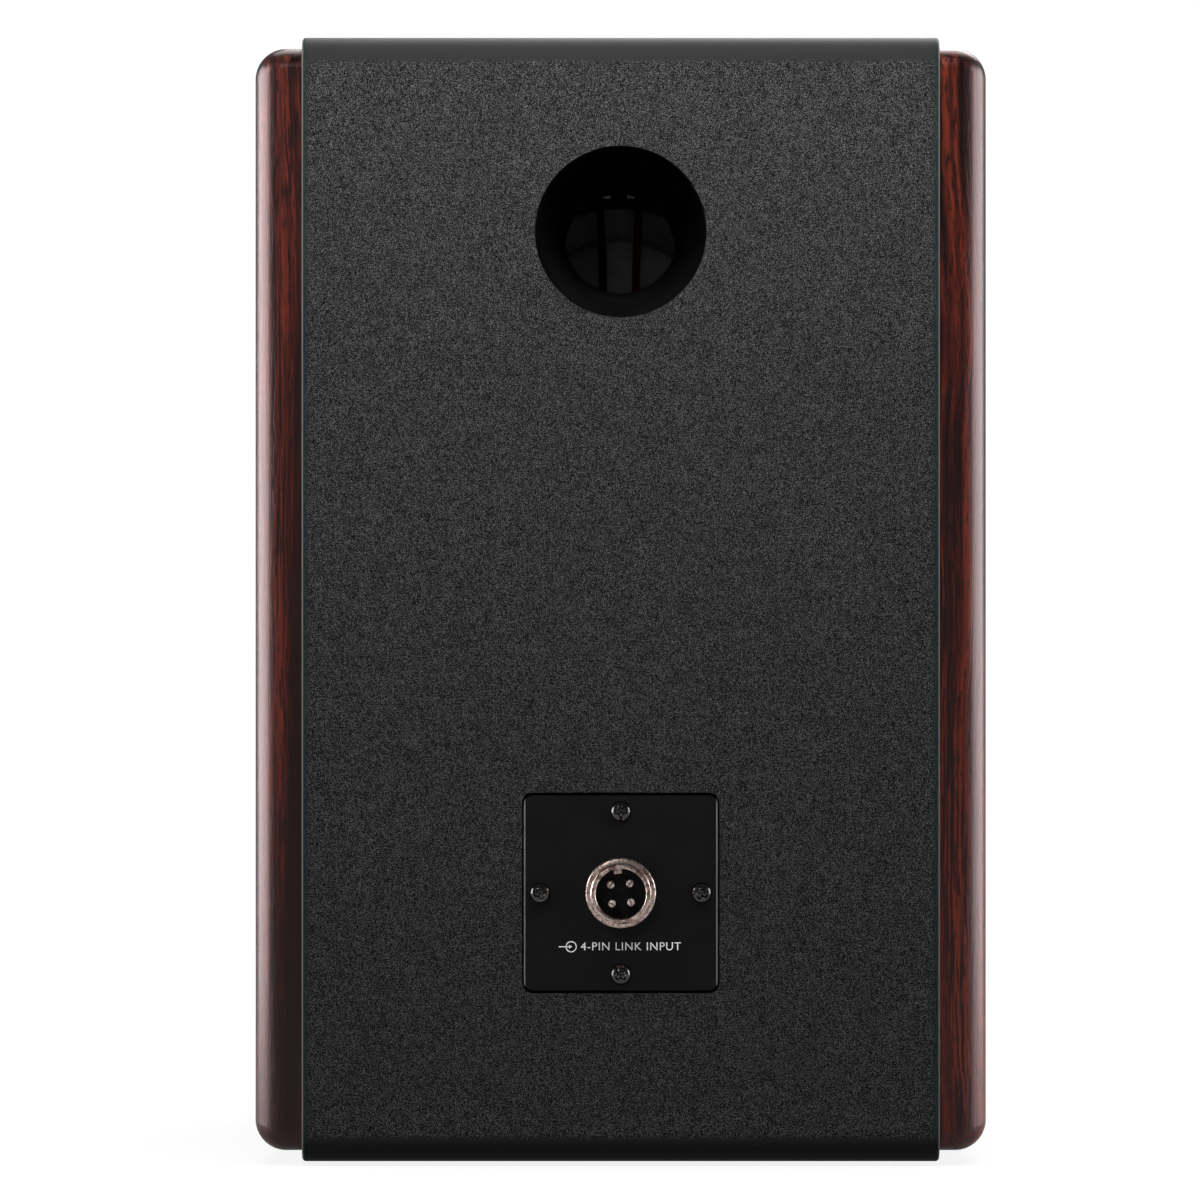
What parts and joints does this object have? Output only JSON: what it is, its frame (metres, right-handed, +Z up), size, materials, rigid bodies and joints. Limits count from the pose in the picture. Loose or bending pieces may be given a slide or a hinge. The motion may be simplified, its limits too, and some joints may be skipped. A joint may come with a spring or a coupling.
{
  "type": "bookshelf speaker",
  "caption": "Two-way bookshelf speaker with wooden side panels, a flared rear port, a round link socket on a rear plate and a pull-off front grille.",
  "frame": {"origin": "on the surface the speaker stands on, under the middle of its overall box", "axes": "+Z up; the front with its drivers and grille faces -Y and the port and socket face +Y; +X is to the right of a viewer in front of the speaker"},
  "size_m": [0.1908, 0.257, 0.294],
  "materials": {
    "raw_board": "raw fibreboard",
    "textured_wrap": "fine grained vinyl film",
    "black_baffle": "satin black lacquer over fibreboard",
    "lacquered_rosewood": "dark rosewood veneer under gloss lacquer",
    "black_rubber": "matte",
    "port_plastic": "moulded, polished flare",
    "plate_black": "satin black",
    "black_steel": "blackened",
    "zinc_steel": "yellowish zinc",
    "nickel": "worn satin nickel",
    "insert_black": "moulded",
    "silvered_pin": "silvered",
    "grille_plastic": "moulded",
    "grille_fabric": "open knit",
    "cone_paper": "coated, pressed pulp",
    "roll_rubber": "moulded",
    "spider_cloth": "resin-dipped",
    "basket_paint": "powder coat",
    "trim_plastic": "satin",
    "ferrite": "ground ferrite",
    "plated_steel": "zinc plated",
    "former_foil": "thin foil",
    "copper_winding": "enamelled copper",
    "dome_silk": "doped silk",
    "strip_board": "pressed fibre",
    "tinned_brass": "tinned",
    "lead_red": "flexible sleeve",
    "lead_black": "flexible sleeve",
    "sleeve_black": "shrunk sleeve",
    "wadding_white": "loose polyester"
  },
  "bodies": {
    "cabinet": {"top_board": "raw_board", "bottom_board": "raw_board", "back_board": "raw_board", "left_inner_board": "raw_board", "right_inner_board": "raw_board", "wrap_film": "textured_wrap", "front_baffle": "black_baffle", "left_side_panel": "lacquered_rosewood", "right_side_panel": "lacquered_rosewood", "side_panel_screws": "zinc_steel", "feet": "black_rubber", "grille_sockets": "black_rubber", "port_flare": "port_plastic", "port_tube": "port_plastic", "link_plate": "plate_black", "link_plate_gasket": "black_rubber", "link_plate_screws": "black_steel", "socket_shell": "nickel", "socket_insert": "insert_black", "socket_pins": "silvered_pin", "socket_lock_washer": "nickel", "socket_nut": "nickel", "solder_sleeves": "sleeve_black", "woofer_lead_plus": "lead_red", "woofer_lead_minus": "lead_black", "tweeter_lead_plus": "lead_red", "tweeter_lead_minus": "lead_black", "cable_clip": "trim_plastic", "terminal_tabs": "tinned_brass", "push_on_terminals": "tinned_brass", "woofer_terminal_strip": "strip_board", "tweeter_terminal_strip": "strip_board", "woofer_basket": "basket_paint", "woofer_gasket": "black_rubber", "woofer_trim_ring": "trim_plastic", "woofer_screws": "black_steel", "woofer_surround": "roll_rubber", "woofer_spider": "spider_cloth", "woofer_top_plate": "plated_steel", "woofer_magnet": "ferrite", "woofer_yoke": "plated_steel", "tweeter_faceplate": "trim_plastic", "tweeter_screws": "black_steel", "tweeter_surround": "dome_silk", "tweeter_top_plate": "plated_steel", "tweeter_magnet": "ferrite", "tweeter_yoke": "plated_steel", "tweeter_rear_chamber": "trim_plastic", "side_wadding": "wadding_white", "rear_wadding": "wadding_white"},
    "woofer_diaphragm": {"woofer_cone": "cone_paper", "woofer_dust_cap": "cone_paper", "woofer_coil_former": "former_foil", "woofer_coil_winding": "copper_winding"},
    "tweeter_diaphragm": {"tweeter_dome": "dome_silk", "tweeter_voice_coil": "copper_winding"},
    "grille": {"grille_frame": "grille_plastic", "grille_pegs": "grille_plastic", "grille_cloth": "grille_fabric"}
  },
  "joints": [
    {"name": "woofer_excursion", "type": "slide", "parent": "cabinet", "child": "woofer_diaphragm", "axis": [0, -1, 0], "range_m": [-0.004, 0.004], "stiffness_N_per_m": 1000, "deforming": ["woofer_surround", "woofer_spider"]},
    {"name": "tweeter_excursion", "type": "slide", "parent": "cabinet", "child": "tweeter_diaphragm", "axis": [0, -1, 0], "range_m": [-0.0003, 0.0003], "stiffness_N_per_m": 3000, "deforming": ["tweeter_surround"]},
    {"name": "grille_pull", "type": "slide", "parent": "cabinet", "child": "grille", "axis": [0, -1, 0], "range_m": [0, 0.12]}
  ]
}
